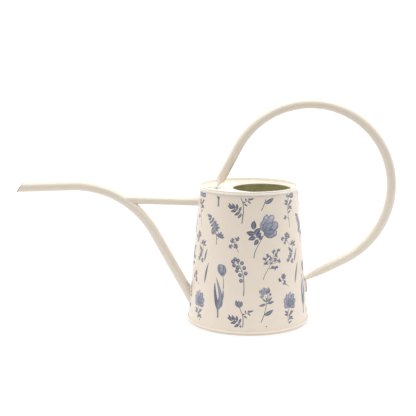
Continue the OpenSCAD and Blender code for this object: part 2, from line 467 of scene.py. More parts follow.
def make_body(mats):
    """The tapered wall: enamelled outside, lined inside, with its lapped seam at the back."""
    mean_r, edge, hole_reach = 57, 0.004, 14
    seam, seam_half = math.pi / 2, LAP_W / 2 / mean_r
    levels = [1.6, 3.0, 4.3, 4.8, 5.4, 6.2, 7.2, 8.5, 10.5]
    levels += [mix(10.5, 140.5, k / 40) for k in range(1, 41)] + [142.0, 144.2]
    turns = sorted(angles(256) + [seam - seam_half, seam - seam_half + edge, seam + seam_half])

    def outside(t, z):
        """Where one edge of the sheet laps over the other, the outside steps out slightly."""
        d = t - (seam - seam_half)
        if 0 < d < 0.5 and SEAM_H < z < BODY_H - SEAM_H:
            fall = 1 - smooth((d - edge) / (6 * seam_half))
            return wall_r(z) + LAP_STEP * smooth(d / edge) * fall
        return wall_r(z)

    def inside(t, z):
        lapped = abs(t - seam) < seam_half and 5 < z < 140.4
        return wall_r(z) - SHEET - (0.5 if lapped else 0.0)

    rings = [[(radius(t, z) * math.cos(t), radius(t, z) * math.sin(t), z) for t in turns]
             for radius, heights in ((outside, levels), (inside, levels[::-1])) for z in heights]
    verts, faces = grid(rings)
    faces = [tuple(reversed(f)) for f in faces]
    n = len(turns)
    lined = [1 if len(levels) <= i // n < 2 * len(levels) - 1 else 0 for i in range(len(faces))]
    wall = add_mesh("body_wall", verts, faces, [mats["enamel"], mats["lining"]], lined, 30)

    hole_r = SPOUT_R - SPOUT_WALL
    rings = [ring_at((ahead(SPOUT_FOOT, SPOUT_HEADING, d), SPOUT_HEADING, 0), hole_r, hole_r,
                     2, 64) for d in (-hole_reach, hole_reach)]
    verts, faces = grid(rings, capped=True)
    cut(wall, add_mesh("spout_hole_cutter", verts, faces, [mats["lining"]]))
    return wall


def cut(obj, cutter):
    """Takes the cutter's shape out of obj, then removes the cutter."""
    mod = obj.modifiers.new("cut", "BOOLEAN")
    mod.operation = "DIFFERENCE"
    mod.solver = "EXACT"
    mod.object = cutter
    graph = bpy.context.evaluated_depsgraph_get()
    made = bpy.data.meshes.new_from_object(obj.evaluated_get(graph))
    obj.modifiers.clear()
    old, obj.data = obj.data, made
    bpy.data.meshes.remove(old)
    bpy.data.objects.remove(cutter)


def make_base(mats):
    """The base: a two-roll seam round its edge and a stepped, ribbed plate inside it."""
    wall, fit = FOOT_WALL_R, 0.12
    inner = wall - SHEET - LIP
    profile = [
        (wall - 0.3, 0.15, 0.15), (BASE_R - 0.9, 0.0, 0.3), (BASE_R - 0.25, 0.75, 0.3),
        (BASE_R - 0.75, 1.45, 0.12), (BASE_R, 2.1, 0.3), (BASE_R, 3.1, 0.6),
        (BASE_R - 0.7, 4.25, 0.25), (wall + fit, 3.8, 0.1), (wall + fit, 2.4),
        (wall - SHEET - fit, 2.4), (wall - SHEET - fit, 4.3, 0.1), (inner + 0.05, 4.3, 0.4),
    ]
    panel = [(inner - 0.9, 3.95, 0.4), (58.0, 3.95, 0.5), (56.5, 3.3, 0.5), (53.0, 3.3, 0.6),
             (51.0, 4.25, 0.8), (30.0, 4.25, 0.8), (28.5, 4.9, 0.6), (25.5, 4.9, 0.6),
             (24.0, 4.25, 0.8), (0.02, 4.25)]
    under = [(r, z - 0.62, *fillet) for r, z, *fillet in reversed(panel)]
    profile += panel + under[:-1] + [(inner, 3.0, 0.5), (inner + 0.02, 0.4, 0.25)]
    return turned("base", corner(profile), [mats["enamel_ends"]])


def make_top(mats):
    """The top plate, sunk inside its rolled rim, with the hemmed filling hole off centre."""
    wall, fit = wall_r(BODY_H - SEAM_H), 0.12
    inner = wall - SHEET - LIP
    top, low = PLATE_TOP, PLATE_TOP - SHEET
    hem, hem_steps, shifts = 0.85, 14, 8
    flat_from, flat_to = inner - 2.6, FILL_R + 2.6
    rim = corner([
        (wall + 0.25, 142.2), (wall + 0.3, 141.3, 0.12), (RIM_R - 0.75, 140.95, 0.2),
        (RIM_R, 141.9, 0.5), (RIM_R, 143.4, 0.7), (RIM_R - 1.0, 143.85, 0.1),
        (RIM_R - 0.35, 144.3, 0.25), (RIM_R - 0.35, BODY_H, 0.6), (inner + 0.2, BODY_H, 0.7),
        (inner, BODY_H - 1.4, 0.5), (inner, top, 1.1), (flat_from, top),
    ])
    # Across the plate, each circle's centre is further from the body's axis and nearer the hole's
    plate = [(mix(flat_from, flat_to, k / shifts), FILL_X * k / shifts) for k in range(1, shifts)]
    out = [(r, z, 0.0) for r, z in rim] + [(r, top, x) for r, x in plate]
    out += [(flat_to, top, FILL_X), (FILL_R + 1.9, top, FILL_X)]
    for k in range(hem_steps + 1):
        a = math.radians(90 + 290 * k / hem_steps)
        out.append((FILL_R + hem + hem * math.cos(a), top + 0.25 - hem + hem * math.sin(a),
                    FILL_X))
    out += [(FILL_R + 1.95, low, FILL_X), (flat_to, low, FILL_X)]
    out += [(r, low, x) for r, x in reversed(plate)]
    out += [(flat_from, low, 0.0), (inner - 0.6, low, 0.0), (inner, low + 0.1, 0.0),
            (inner + 0.35, low + 0.6, 0.0), (wall - SHEET - fit, 141.2, 0.0),
            (wall - SHEET - fit, 142.2, 0.0)]
    # The rim's paint ends within the fillet where it turns into the plate; the rim's enamel is
    # whiter, a painted highlight
    rim_bands = len(rim) - 4
    return turned("top", out, [mats["enamel_ends"], mats["rim_enamel_painted_highlight"]],
                  lambda band: 1 if band < rim_bands else 0)


# ---- the tubes


def make_spout(mats):
    """The bent spout, cut to the wall at its foot and slantwise at its mouth."""
    segments, rows, mouth_run, lip_h = 64, 24, 12, 0.34
    turns = angles(segments)
    stations = spout_stations(1.5)
    end, heading, length = stations[-1]
    straight = SPOUT_RUN[0][0]
    mouth = math.radians(MOUTH_ANGLE)
    mouth_normal = Vector((-math.sin(mouth), 0, math.cos(mouth)))
    end_point = Vector((end[0], 0, end[1]))
    a = math.radians(heading)
    along = Vector((math.cos(a), 0, math.sin(a)))

    def surface(r):
        """Rings of one surface, from the wall to the mouth's slanting cut."""
        starts = [wall_at(SPOUT_FOOT, SPOUT_HEADING, t, r) for t in turns]
        rings = []
        for i in range(rows):
            u = (i / (rows - 1)) ** 1.4
            rings.append([tuple(line_point(SPOUT_FOOT, SPOUT_HEADING, t, r, mix(d, straight, u)))
                          for t, d in zip(turns, starts)])
        for s in stations:
            if straight + 0.01 < s[2] < length - mouth_run:
                rings.append(ring_at(s, r, r, 2, segments))
        last = [Vector(p) for p in rings[-1]]
        ends = [p + along * ((end_point - p).dot(mouth_normal) / along.dot(mouth_normal))
                for p in last]
        for u in (0.4, 0.75, 0.93):
            rings.append([tuple(p.lerp(e, u)) for p, e in zip(last, ends)])
        return rings, ends

    outer, outer_ends = surface(SPOUT_R)
    inner, inner_ends = surface(SPOUT_R - SPOUT_WALL)
    lip = []
    for u in (0.06, 0.2, 0.5, 0.8, 0.94):
        lift = lip_h * (math.sqrt(max(0, 1 - (2 * u - 1) ** 2)) - 1)
        lip.append([tuple(a.lerp(b, u) + mouth_normal * lift)
                    for a, b in zip(outer_ends, inner_ends)])
    rings = outer + lip + inner[::-1]
    verts, faces = grid(rings)
    n = len(outer) + len(lip)
    # The mouth's lip and the last bit of the outside get the darker grey, painted shade
    slots = []
    for i in range(len(faces)):
        ring = i // segments
        slots.append(2 if len(outer) - 1 <= ring < n else 1 if n <= ring < len(rings) - 1 else 0)
    return add_mesh("spout", verts, faces,
                    [mats["enamel_tube"], mats["enamel_ends"], mats["cut"]], slots, 40)


def make_spout_weld(mats):
    def crotch(t):
        """1 on the spout's upper side, where it makes a sharp angle with the wall."""
        return max(0.0, -math.sin(t)) ** 2

    return weld_bead("spout_bead", SPOUT_FOOT, SPOUT_HEADING, SPOUT_R, 20, wall_gap, on_wall,
                     lambda t: 1.5 + 6.0 * crotch(t), lambda t: 1.5 + 3.6 * crotch(t),
                     mats["enamel_ends"])


def brace_frame():
    """The brace's axis: its point on the wall, its heading to the spout and its length."""
    return (-wall_r(BRACE_Z), BRACE_Z), 180 - BRACE_ANGLE, BRACE_REACH - wall_r(BRACE_Z)


def make_brace(mats):
    """The straight tube, cut at its ends to the wall and the spout."""
    start, heading, far = brace_frame()
    rows, turns = 30, angles(48)
    ends = []
    for t in turns:
        b = meet(lambda d: spout_gap(line_point(start, heading, t, BRACE_R, d)) + HIDDEN, 40, far)
        ends.append((wall_at(start, heading, t, BRACE_R), b))

    def ring(r, u):
        return [tuple(line_point(start, heading, t, r, mix(a, b, u)))
                for t, (a, b) in zip(turns, ends)]

    rings = [ring(BRACE_R, i / rows) for i in range(rows + 1)]
    rings += [ring(BRACE_R - BRACE_WALL, u) for u in (1, 0)]
    verts, faces = grid(rings)
    return add_mesh("brace", verts, faces, [mats["enamel_tube"]], sharp=40)


def make_brace_welds(mats):
    start, heading, far = brace_frame()
    body = weld_bead("brace_body_bead", start, heading, BRACE_R, 20, wall_gap, on_wall,
                     lambda t: 1.2, lambda t: 1.2, mats["enamel_ends"])
    end = ahead(start, heading, far)
    spout = weld_bead("brace_spout_bead", end, heading + 180, BRACE_R, 30, spout_gap, on_spout,
                      lambda t: 1.3, lambda t: 1.2, mats["enamel_tube"])
    return body, spout


def handle_stations():
    """The handle's whole run: each station with its half thickness, half width and squareness."""
    tab_heading = 90 + math.degrees(LEAN)
    tab_end = (wall_r(LOWER_TAB_Z) + (TAB_GAP + TAB_T / 2) / math.cos(LEAN), LOWER_TAB_Z)
    lower_fold = tab_heading - HANDLE_ANGLE
    loop_heading = HANDLE_ANGLE + sum(turn for _, turn in HANDLE_RUN)
    upper_fold = loop_heading - 180
    run = run_points(tab_end, tab_heading, [(LOWER_TAB_RUN, 0)], 0.7)
    run += run_points(*run[-1][:2], [(FOLD_R, -lower_fold)], 0.35)[1:]
    sections = [(s[0], s[1], TAB_T / 2) for s in run]
    leaving = run_points(*run[-1][:2], [(FLARE_RUN, 0), HANDLE_RUN[0]], 1.2)[1:]
    for at, heading, d in leaving:
        sections.append((at, heading, HANDLE_R - (HANDLE_R - TAB_T / 2) * math.exp(-d / 8)))
    loop = run_points(*leaving[-1][:2], HANDLE_RUN[1:], 3.0)[1:]
    sections += [(s[0], s[1], HANDLE_R) for s in loop]

    # The upper end comes down on the top plate
    fold_z = PLATE_TOP + TAB_GAP + TAB_T / 2 + FOLD_R * (1 - math.cos(math.radians(upper_fold)))
    fall = (loop[-1][0][1] - fold_z) / -math.sin(math.radians(loop_heading))
    last = run_points(*loop[-1][:2], [(fall, 0)], 1.2)[1:]
    for at, heading, d in last:
        half_t = mix(TAB_T / 2, HANDLE_R, smooth((fall - d) / UPPER_FLARE))
        sections.append((at, heading, half_t))
    fold = run_points(*last[-1][:2], [(FOLD_R, -upper_fold)], 0.35)
    tab = run_points(*fold[-1][:2], [(UPPER_TAB_RUN, 0)], 0.7)
    sections += [(s[0], s[1], TAB_T / 2) for s in fold[1:] + tab[1:]]

    out = []
    ends = (Vector(sections[0][0]), Vector(sections[-1][0]))
    for at, heading, half_t in sections:
        half_w = min(TAB_W / 2, math.sqrt(2 * HANDLE_R ** 2 - half_t ** 2))
        near = min((Vector(at) - end).length for end in ends)
        if near < 4:
            half_w = TAB_W / 2 - 4 + math.sqrt(16 - (4 - near) ** 2)
        power = mix(6.0, 2.0, smooth((half_t - TAB_T / 2) / 1.4))
        out.append(((at, heading, 0), half_t, half_w, power))
    return out


def make_handle(mats):
    """The looped tube, pressed flat at both ends, whose lower tab's edges are painted dark olive
    as painted shade.
    """
    segments, ease, edge = 64, 0.25, 7
    sections = handle_stations()

    def end_rings(section, inwards):
        """A ring at the very end, made a little smaller, and a full one just inside it."""
        station, half_t, half_w, power = section
        inside = (ahead(station[0], station[1], inwards), station[1], 0)
        return [ring_at(station, half_t - ease, half_w - ease, power, segments),
                ring_at(inside, half_t, half_w, power, segments)]

    rings = end_rings(sections[0], ease)
    rings += [ring_at(*section, segments) for section in sections[1:-1]]
    rings += reversed(end_rings(sections[-1], -ease))
    verts, faces = grid(rings, capped=True)
    # The lower tab's edge faces take the dark olive colour, painted shade
    tab_rings = sum(1 for (at, heading, _), *_ in sections if heading > 90 and at[1] < 60)
    half = segments // 2
    slots = []
    for i in range(len(faces)):
        ring, k = divmod(i, segments)
        at_edge = min(k % half, half - 1 - k % half) < edge
        slots.append(1 if ring < tab_rings and at_edge else 0)
    return add_mesh("handle", verts, faces, [mats["enamel_tube"], mats["edge"]], slots, 45)


def make_handle_welds(mats):
    """Filler between each tab and what it is welded to, with a bead along the tab's edges."""
    tuck, deep, snug = 0.1, 0.4, 0.05
    lower, upper = [], []

    def in_wall(y, z, depth):
        return math.sqrt((wall_r(z) - depth) ** 2 - y ** 2), y, z

    for ((x, z), heading, _), _, half_w, _ in handle_stations():
        edge, foot = half_w + snug, half_w + TAB_BEAD
        if heading > 90 and z < 60 and x > 0:
            lower.append([in_wall(-foot, z, tuck), (x, -edge, z), (x, edge, z),
                          in_wall(foot, z, tuck)]
                         + [in_wall(y, z, deep) for y in (TAB_W / 2, 0, -TAB_W / 2)])
        if x < 0 and z < 150 and -0.5 < heading - 180 < 0.01:
            upper.append([(x, -foot, PLATE_TOP - tuck), (x, -edge, z), (x, edge, z),
                          (x, foot, PLATE_TOP - tuck)])
    made = []
    for name, rings in (("handle_lower_bead", lower), ("handle_upper_bead", upper)):
        verts, faces = grid(rings, capped=True)
        made.append(add_mesh(name, verts, faces, [mats["enamel_ends"]], sharp=60))
    return made


# ---- the botanical print

# The flat sheet's print: its repeat across and up, the heights between which it is cut off, how
# many degrees round it reaches from the front, its stretch upwards and the cone's slant length
PERIOD_U, PERIOD_V = 107.0, 112.8
PRINT_LOW, PRINT_HIGH = 8.3, 139.2
PRINT_ROUND = 177
PRINT_STRETCH = 1.0062
SLANT = FOOT_WALL_R / math.sin(LEAN)

# How proud the print's film is, what each further layer adds, and how deep its back is sunk
FILM = 0.035
LAYER = 0.012
SUNK = -0.08


def rolled(u, v, lift):
    """The place on the wall of a point of the flat sheet, u across from the front and v up."""
    v *= PRINT_STRETCH
    away = math.hypot(u, SLANT - v)
    turn = math.atan2(u, SLANT - v) / math.sin(LEAN)
    z = (SLANT - away) * math.cos(LEAN)
    r = wall_r(z) + lift
    return (r * math.sin(turn), -r * math.cos(turn), z), turn, z


def curve(points, count):
    """Evenly parametrised points on a smooth curve through a few."""
    pts = [Vector(p) for p in points]
    pts = [pts[0] * 2 - pts[1]] + pts + [pts[-1] * 2 - pts[-2]]
    spans = len(pts) - 3
    out = []
    for k in range(count + 1):
        x = spans * k / count
        i = min(int(x), spans - 1)
        t = x - i
        a, b, c, d = pts[i:i + 4]
        out.append((b * 2 + (c - a) * t + (a * 2 - b * 5 + c * 4 - d) * t ** 2
                    + (b * 3 - a - c * 3 + d) * t ** 3) / 2)
    return out


def toward(degrees):
    """A unit step on the sheet, at an angle up from straight across."""
    a = math.radians(degrees)
    return Vector((math.cos(a), math.sin(a)))


def leaf_shape(t):
    return math.sin(math.pi * t ** 0.85) ** 0.8


def blade_shape(t):
    """A long leaf on a slim stalk, widest below its middle."""
    return max(0.26 * (1 - t), 1.3 * smooth((t - 0.16) / 0.3) * (1 - t) ** 0.65)


def spear_shape(t):
    """A pointed petal, widest beyond its middle."""
    return math.sin(math.pi * t ** 1.25) ** 0.65


def petal_shape(t):
    return math.sqrt(max(0.0, 1 - abs(2 * t ** 1.5 - 1) ** 2.6))


def round_shape(t):
    return math.sqrt(max(0.0, 1 - (2 * t - 1) ** 2))


def stem_shape(t):
    return 1 - 0.45 * t


class Pen:
    """Collects inked shapes on the flat sheet. Tone runs from 0, pale, to 1, darkest."""

    def __init__(self):
        self.shapes = []

    def blade(self, points, width, shape, tone, layer, across, edge=0.0, step=1.0):
        """A shape along a curve, its width following the shape function."""
        line = [Vector(p) for p in points]
        length = sum((b - a).length for a, b in zip(line, line[1:]))
        count = max(3, round(length / step))
        centre = curve(line, count)
        rows = []
        for i, p in enumerate(centre):
            before, after = centre[max(0, i - 1)], centre[min(count, i + 1)]
            way = (after - before).normalized()
            side = Vector((-way.y, way.x))
            half = max(0.03, width / 2 * shape(i / count))
            row = []
            for j in range(across + 1):
                s = 2 * j / across - 1
                row.append((p + side * half * s, tone + edge * abs(s) ** 2))
            rows.append(row)
        self.shapes.append((rows, layer))

    def stroke(self, points, width, tone=0.85, layer=1):
        self.blade(points, width, stem_shape, tone, layer, 1, step=1.6)

    def leaf(self, base, tip, width, bend, tone=0.62, layer=2, vein=True):
        a, b = Vector(base), Vector(tip)
        off = Vector((a.y - b.y, b.x - a.x)) * bend
        line = [a, (a + b) / 2 + off, b]
        self.blade(line, width, leaf_shape, tone, layer, 2, 0.3)
        if vein:
            self.stroke([a.lerp(line[1], 0.15), line[1], line[1].lerp(b, 0.7)], 0.3, 0.2,
                        layer + 1)

    def petal(self, base, tip, width, bend, tone, layer, veins, shape=petal_shape):
        """A petal with a dark outline, a pale face and a few veins."""
        a, b = Vector(base), Vector(tip)
        off = Vector((a.y - b.y, b.x - a.x))
        line = [a, (a + b) / 2 + off * bend, b]
        way = (b - a).normalized()
        self.blade(line, width, shape, 0.9, layer, max(2, round(width / 2)))
        face = [a + way * 0.25, line[1], b - way * 0.5]
        self.blade(face, width - 1.1, shape, tone, layer + 1, max(2, round(width / 2)), 0.2)
        for k in range(veins):
            s = (k + 0.5) / veins - 0.5
            fan = off.normalized() * width * s
            self.stroke([a.lerp(b, 0.15) + fan * 0.3, line[1] + fan * 0.75,
                         a.lerp(b, 0.8) + fan * 0.9], 0.5, 0.85, layer + 2)

    def disc(self, centre, r, tone, layer):
        c = Vector(centre)
        self.blade([c - Vector((r, 0)), c, c + Vector((r, 0))], 2 * r, round_shape, tone, layer,
                   2, step=r / 3)

    def blossom(self, centre, r, turn, petals, tone, layer=2):
        c = Vector(centre)
        for k in range(petals):
            way = toward(turn + 360 * k / petals + 14 * math.sin(2.3 * k + r))
            reach = r * (1.12 + 0.14 * math.sin(5.1 * k + turn))
            self.blade([c + way * 0.12 * r, c + way * reach * 0.6, c + way * reach], r * 0.92,
                       spear_shape, tone, layer, 2, 0.3)
            self.stroke([c + way * 0.35 * r, c + way * reach * 0.6, c + way * reach * 0.8], 0.3,
                        tone - 0.35, layer + 1)
        self.disc(c, r * 0.24, 1.0, layer + 2)

    def leaves(self, spots, bend, tone, layer=2, vein=True):
        for base, tip, width in spots:
            self.leaf(base, tip, width, bend, tone, layer, vein)

    def blossoms(self, spots, tone):
        for centre, r, turn in spots:
            self.blossom(centre, r, turn, 5, tone)

    def berry(self, centre, r):
        c = Vector(centre)
        self.disc(c, r, 0.85, 2)
        self.disc(c + Vector((0.1, 0.15)) * r, r * 0.5, 0.35, 3)
        self.disc(c + Vector((0.05, 0.0)) * r, r * 0.16, 0.9, 4)


def draw_rose(pen):
    pen.stroke([(3.3, 78.5), (4.5, 84.5), (8, 92), (14.8, 104)], 0.85)
    c = Vector((13.4, 104.6))
    for k, (tip, width, bend) in enumerate((
        ((13.4, 115.6), 6.2, 0.1), ((28.2, 104.6), 8.4, -0.1), ((17.2, 121.6), 6.2, 0.06),
        ((24.4, 101.4), 6.4, -0.12), ((24, 121.2), 7, 0.04), ((29.2, 113), 9, -0.02),
    )):
        pen.petal(c, tip, width, bend, 0.08 + 0.14 * (k % 2), 2 + k // 2, 4)
    for k, (tip, width, bend) in enumerate((
        ((16.6, 114), 4.6, 0.08), ((19.6, 101.6), 5, -0.1), ((22.4, 113), 6, 0.05),
        ((24.2, 105.4), 6.4, -0.05), ((19.2, 108.4), 4.4, 0),
    )):
        pen.petal(c, tip, width, bend, 0.3 + 0.12 * (k % 2), 6 + k // 2, 2)
    pen.stroke([(2, 103), (7, 100.5), (10, 96.5)], 0.6)
    pen.stroke([(3.5, 107.5), (4.4, 103.5), (7, 100.5)], 0.5)
    pen.disc((16.6, 8.9), 0.7, 0.8, 2)
    for base, tip, width, bend in (
        ((3.4, 107.2), (3.6, 116.4), 5.4, 0.05), ((4.6, 103.4), (-4.4, 104.6), 5, 0.06),
        ((4.2, 102.8), (9.8, 108.8), 5, 0), ((5.4, 99.4), (-2.4, 97), 4.4, -0.05),
        ((6, 99), (10.8, 104), 4.4, 0.05), ((7.4, 97.6), (3.6, 91.6), 4.2, 0.05),
        ((8.4, 97.2), (12.4, 100.8), 3.2, 0),
    ):
        pen.leaf(base, tip, width, bend, 0.72)


def draw_tulip(pen):
    pen.stroke([(-28.1, 46.5), (-28, 52), (-28.6, 59.5)], 0.8)
    pen.blade([(-34.7, 16.5), (-35.2, 25), (-36.6, 34), (-38.2, 44.5), (-38.2, 52.4)], 4.6,
              blade_shape, 0.75, 2, 2, 0.25)
    pen.blade([(-34.6, 17), (-34.2, 25), (-31.9, 33), (-31.7, 41), (-36.4, 57.4)], 7.2,
              blade_shape, 0.5, 3, 4, 0.3)
    pen.stroke([(-33.6, 28), (-31.6, 34), (-31.3, 41), (-33.8, 50)], 0.35, 0.15, 4)
    pen.stroke([(-32.4, 28.6), (-30.4, 34), (-30, 40), (-31.4, 46)], 0.35, 0.85, 4)
    pen.blade([(-28.4, 46), (-28.8, 38), (-31.2, 28)], 1.6, leaf_shape, 0.7, 2, 2)
    pen.petal((-28.8, 59), (-33, 71.2), 4.4, 0.12, 0.22, 2, 2)
    pen.petal((-28.5, 59), (-28.8, 70.8), 4.2, -0.14, 0.22, 2, 2)
    pen.petal((-28.7, 58.6), (-30.9, 71.6), 5.4, 0.02, 0.14, 5, 4)


def draw_fern_bud(pen):
    pen.stroke([(-8.8, 0.5), (-7.4, 12), (-7.6, 20), (-9.7, 25.5), (-11.2, 29)], 0.95)
    for tip, bend in (((-14.3, 36), 0.14), ((-9, 35.2), -0.14)):
        pen.petal((-11.4, 28.2), tip, 2.9, bend, 0.35, 2, 1, spear_shape)
    pen.petal((-11.4, 28), (-11.8, 35.4), 3.2, 0, 0.25, 5, 1, spear_shape)
    pen.stroke([(-7.7, 20.4), (-4.5, 22.6), (-1, 23.8)], 0.45)
    pen.leaves((
        ((-2.2, 23.6), (3.3, 25.5), 1.7), ((-4.6, 22.8), (-5, 25.8), 1.6),
        ((-3, 22.8), (0.2, 20.4), 1.5), ((-6.6, 20.2), (-3.3, 17.5), 1.6),
        ((-7.7, 20.4), (-6, 22.6), 1.5), ((-2.4, 23.9), (-1.2, 26), 1.2),
    ), 0.04, 0.7, 2, False)
    pen.stroke([(-8, 8), (-12.5, 13.5), (-18, 15.6)], 0.5)
    pen.leaves((
        ((-17.2, 15.3), (-23.6, 18.2), 3), ((-15.4, 15.2), (-18.6, 20.6), 2.7),
        ((-13.4, 14.2), (-13.6, 20.2), 2.7), ((-14, 14), (-20.4, 12.4), 2.9),
        ((-11, 12.2), (-16.6, 8.6), 2.8), ((-11.2, 12.2), (-9.4, 17.4), 2.4),
        ((-9.4, 10), (-13.2, 5.8), 2.3), ((-18, 15.4), (-22.4, 21), 2.2),
    ), 0.05, 0.78)


def draw_phlox(pen):
    pen.stroke([(11, 13.4), (14.2, 21), (16.2, 29), (16.7, 34), (15.6, 40)], 0.75)
    for base, tip, width, bend in (
        ((14.2, 20.6), (24, 25.6), 4, -0.06), ((16, 32.2), (8.6, 30), 2.5, 0.05),
        ((17, 32.4), (25, 34.4), 2.5, -0.05), ((16.8, 34), (22.8, 38.6), 2.2, -0.05),
        ((16.6, 34), (12, 38), 1.8, 0.05),
    ):
        pen.leaf(base, tip, width, bend)
    for base, tip in (((16.6, 35.5), (20.2, 46.8)), ((16.7, 35), (21.8, 42.8)),
                      ((16.4, 36), (17.6, 46))):
        pen.stroke([base, (Vector(base) + Vector(tip)) / 2 + Vector((0.8, 0)), tip], 0.45)
        pen.leaf(Vector(base).lerp(Vector(tip), 0.62), tip, 1.8, 0, 0.75, 2, False)
    pen.blossoms((((11, 44.6), 2.5, 20), ((14.2, 46.2), 2.5, 55), ((13, 42), 2.4, 0),
                  ((11.6, 39.6), 2.0, 40), ((16.2, 43.6), 2.2, 70), ((18.2, 46.6), 1.9, 10)), 0.3)


def draw_berries(pen):
    pen.stroke([(-6.9, 40.2), (-6.5, 50), (-7.2, 60), (-9, 66), (-13, 74)], 0.95, 0.8)
    spots = ((-17.9, 74.8), (-15.6, 77.2), (-12.6, 76), (-8.6, 73.6), (-16.7, 71), (-13, 68.8),
             (-6.3, 68.7), (-13.7, 65.6), (-4.8, 63.2), (-10.5, 61.4), (-9.6, 55.8))
    joins = ((-12.6, 73), (-13, 74), (-12, 72.6), (-10.4, 69.4), (-11.8, 71), (-10, 67.6),
             (-8.4, 65), (-9, 65), (-7.4, 60), (-7.6, 59), (-6.9, 54))
    for at, join in zip(spots, joins):
        pen.stroke([join, (Vector(join) + Vector(at)) / 2, at], 0.4)
        pen.berry(at, 2.0)


def draw_parsley(pen):
    pen.stroke([(13, 56.5), (14.6, 61), (17.4, 65.8), (21, 72)], 0.65)
    heads = ((30, 85), (24.6, 84.2), (27.6, 81), (18.3, 81), (14.8, 78), (15.6, 73.6),
             (20.4, 77.6), (25.7, 76.2), (30.2, 74.4), (23.2, 68), (27.4, 67.8))
    for i, at in enumerate(heads):
        c = Vector(at)
        root = Vector((21, 72)) if i < 9 else Vector((18.6, 67.6))
        pen.stroke([root, (root + c) / 2 + Vector((0.4, -0.3)), c], 0.35)
        for k in range(6):
            tip = c + toward(44 * k + 37 * i) * (3.3 if k % 2 else 2.4)
            pen.leaf(c, tip, 1.25, 0, 0.45 if k % 2 else 0.65, 2, False)


def draw_small_blossoms(pen):
    pen.stroke([(-12, 84.3), (-14.4, 89), (-16.4, 93), (-18, 95.6)], 0.5)
    pen.stroke([(-15.4, 91), (-18, 90.8), (-20.2, 90.3)], 0.4)
    pen.stroke([(-16.4, 93), (-14.6, 95), (-13.4, 97.4)], 0.4)
    size = 0.93
    pen.blossoms((((-13.2, 97.6), 2.4 * size, 10), ((-18.4, 95.7), 2.6 * size, 40),
                  ((-20.3, 90.3), 2.3 * size, 0), ((-14.8, 90.4), 2.6 * size, 60)), 0.55)


def draw_rosette(pen):
    """A small round rose with a side sprig."""
    pen.stroke([(43.4, 47.6), (39.6, 51), (36.6, 55.4)], 0.5)
    c, sprig = Vector((36.4, 58.4)), Vector((32.2, 55.4))
    for k in range(6):
        pen.petal(c, c + toward(60 * k + 12) * 3.2, 2.9, 0, 0.25, 2, 1)
    pen.disc(c, 0.9, 0.8, 5)
    for a in (120, 175, 235, 300):
        pen.leaf(sprig, sprig + toward(a) * 2.8, 1.5, 0, 0.75, 2, False)
    pen.stroke([sprig, (34.4, 54.8), (37, 54.6)], 0.4)
    pen.blossom((37.6, 52.3), 2.5, 30, 4, 0.5)


def draw_spray(pen):
    pen.stroke([(-36.9, 90.7), (-36.6, 97.5), (-38.6, 107), (-43, 113.6), (-48, 119.6)], 0.65)
    fullness = 1.3
    for base, tip, width in (
        ((-46.5, 117.8), (-49.6, 121.4), 1.9), ((-45, 116), (-43.8, 120.8), 1.9),
        ((-44.6, 115.4), (-48.9, 116.4), 1.8), ((-42.6, 113.2), (-40, 118.2), 2.2),
        ((-42.8, 113.6), (-47, 112.4), 2.0), ((-41, 111.4), (-36.6, 114.6), 2.2),
        ((-40.8, 111), (-45, 109), 2.0), ((-39.6, 109), (-34, 111.4), 2.2),
        ((-39.4, 108.8), (-43.4, 105.6), 2.0), ((-38.6, 107), (-32.6, 108.2), 2.1),
        ((-38.2, 106), (-34.4, 104.6), 1.8), ((-45.6, 117), (-46.6, 121.6), 1.5),
    ):
        pen.leaf(base, tip, fullness * width, 0.04, 0.6)
    pen.blossom((-41, 103.4), 3.0, 15, 6, 0.35)
    pen.blossom((-37.6, 110.4), 2.4, 30, 5, 0.35, 5)
    pen.stroke([(-36.6, 95.6), (-35, 97.2), (-33.4, 98.2)], 0.5)
    c = Vector((-32.6, 98))
    for a in (8, 41, 74, 107, 140):
        pen.petal(c, c + toward(a) * (6.6 if a == 74 else 5.6), 2.1, 0, 0.4, 2, 0, spear_shape)


def draw_tall_stems(pen):
    """Two clusters of small flowers on one curved stem, with two long grassy leaves."""
    pen.stroke([(40, 97), (43.5, 91.5), (47, 89.4), (50.5, 90.2)], 0.45)
    pen.blossoms((((40.2, 100.6), 2.6, 20), ((35.2, 97.1), 2.1, 0), ((43.6, 99.2), 2.2, 50),
                  ((38.4, 92.8), 1.8, 30), ((40.2, 96.4), 2.2, 5)), 0.5)
    pen.stroke([(38.4, 92.8), (39.4, 95), (40.2, 96.4)], 0.4)
    pen.leaves((
        ((50, 89.8), (47.6, 94.4), 1.8), ((50.8, 90), (51.4, 95), 1.8),
        ((51.2, 89.8), (55.8, 93.8), 1.9), ((51, 89.4), (55.8, 88.6), 1.8),
        ((49.6, 89.6), (46.2, 91.6), 1.5),
    ), 0.04, 0.65)
    pen.leaf((50, 82.4), (43.2, 88), 3.0, 0.06, 0.6)
    pen.stroke([(50.6, 89.4), (50.4, 83), (48, 79), (45, 75.5)], 0.5)
    pen.blossoms((((46.2, 79.2), 2.8, 40), ((43.4, 74.8), 2.4, 10), ((49.4, 73.4), 2.4, 25)), 0.45)
    pen.stroke([(47.2, 77.4), (48.6, 75.4), (49.4, 73.4)], 0.4)
    pen.blade([(53.4, 72.6), (55, 79), (57.8, 86)], 2.2, leaf_shape, 0.62, 2, 2, 0.2)
    pen.blade([(54, 49.8), (55.4, 57), (57.2, 64), (59.8, 71.4)], 2.6, leaf_shape, 0.62, 2, 2,
              0.2)
    pen.stroke([(54.2, 51), (55.6, 58), (57.2, 64.4)], 0.3, 0.2, 3)


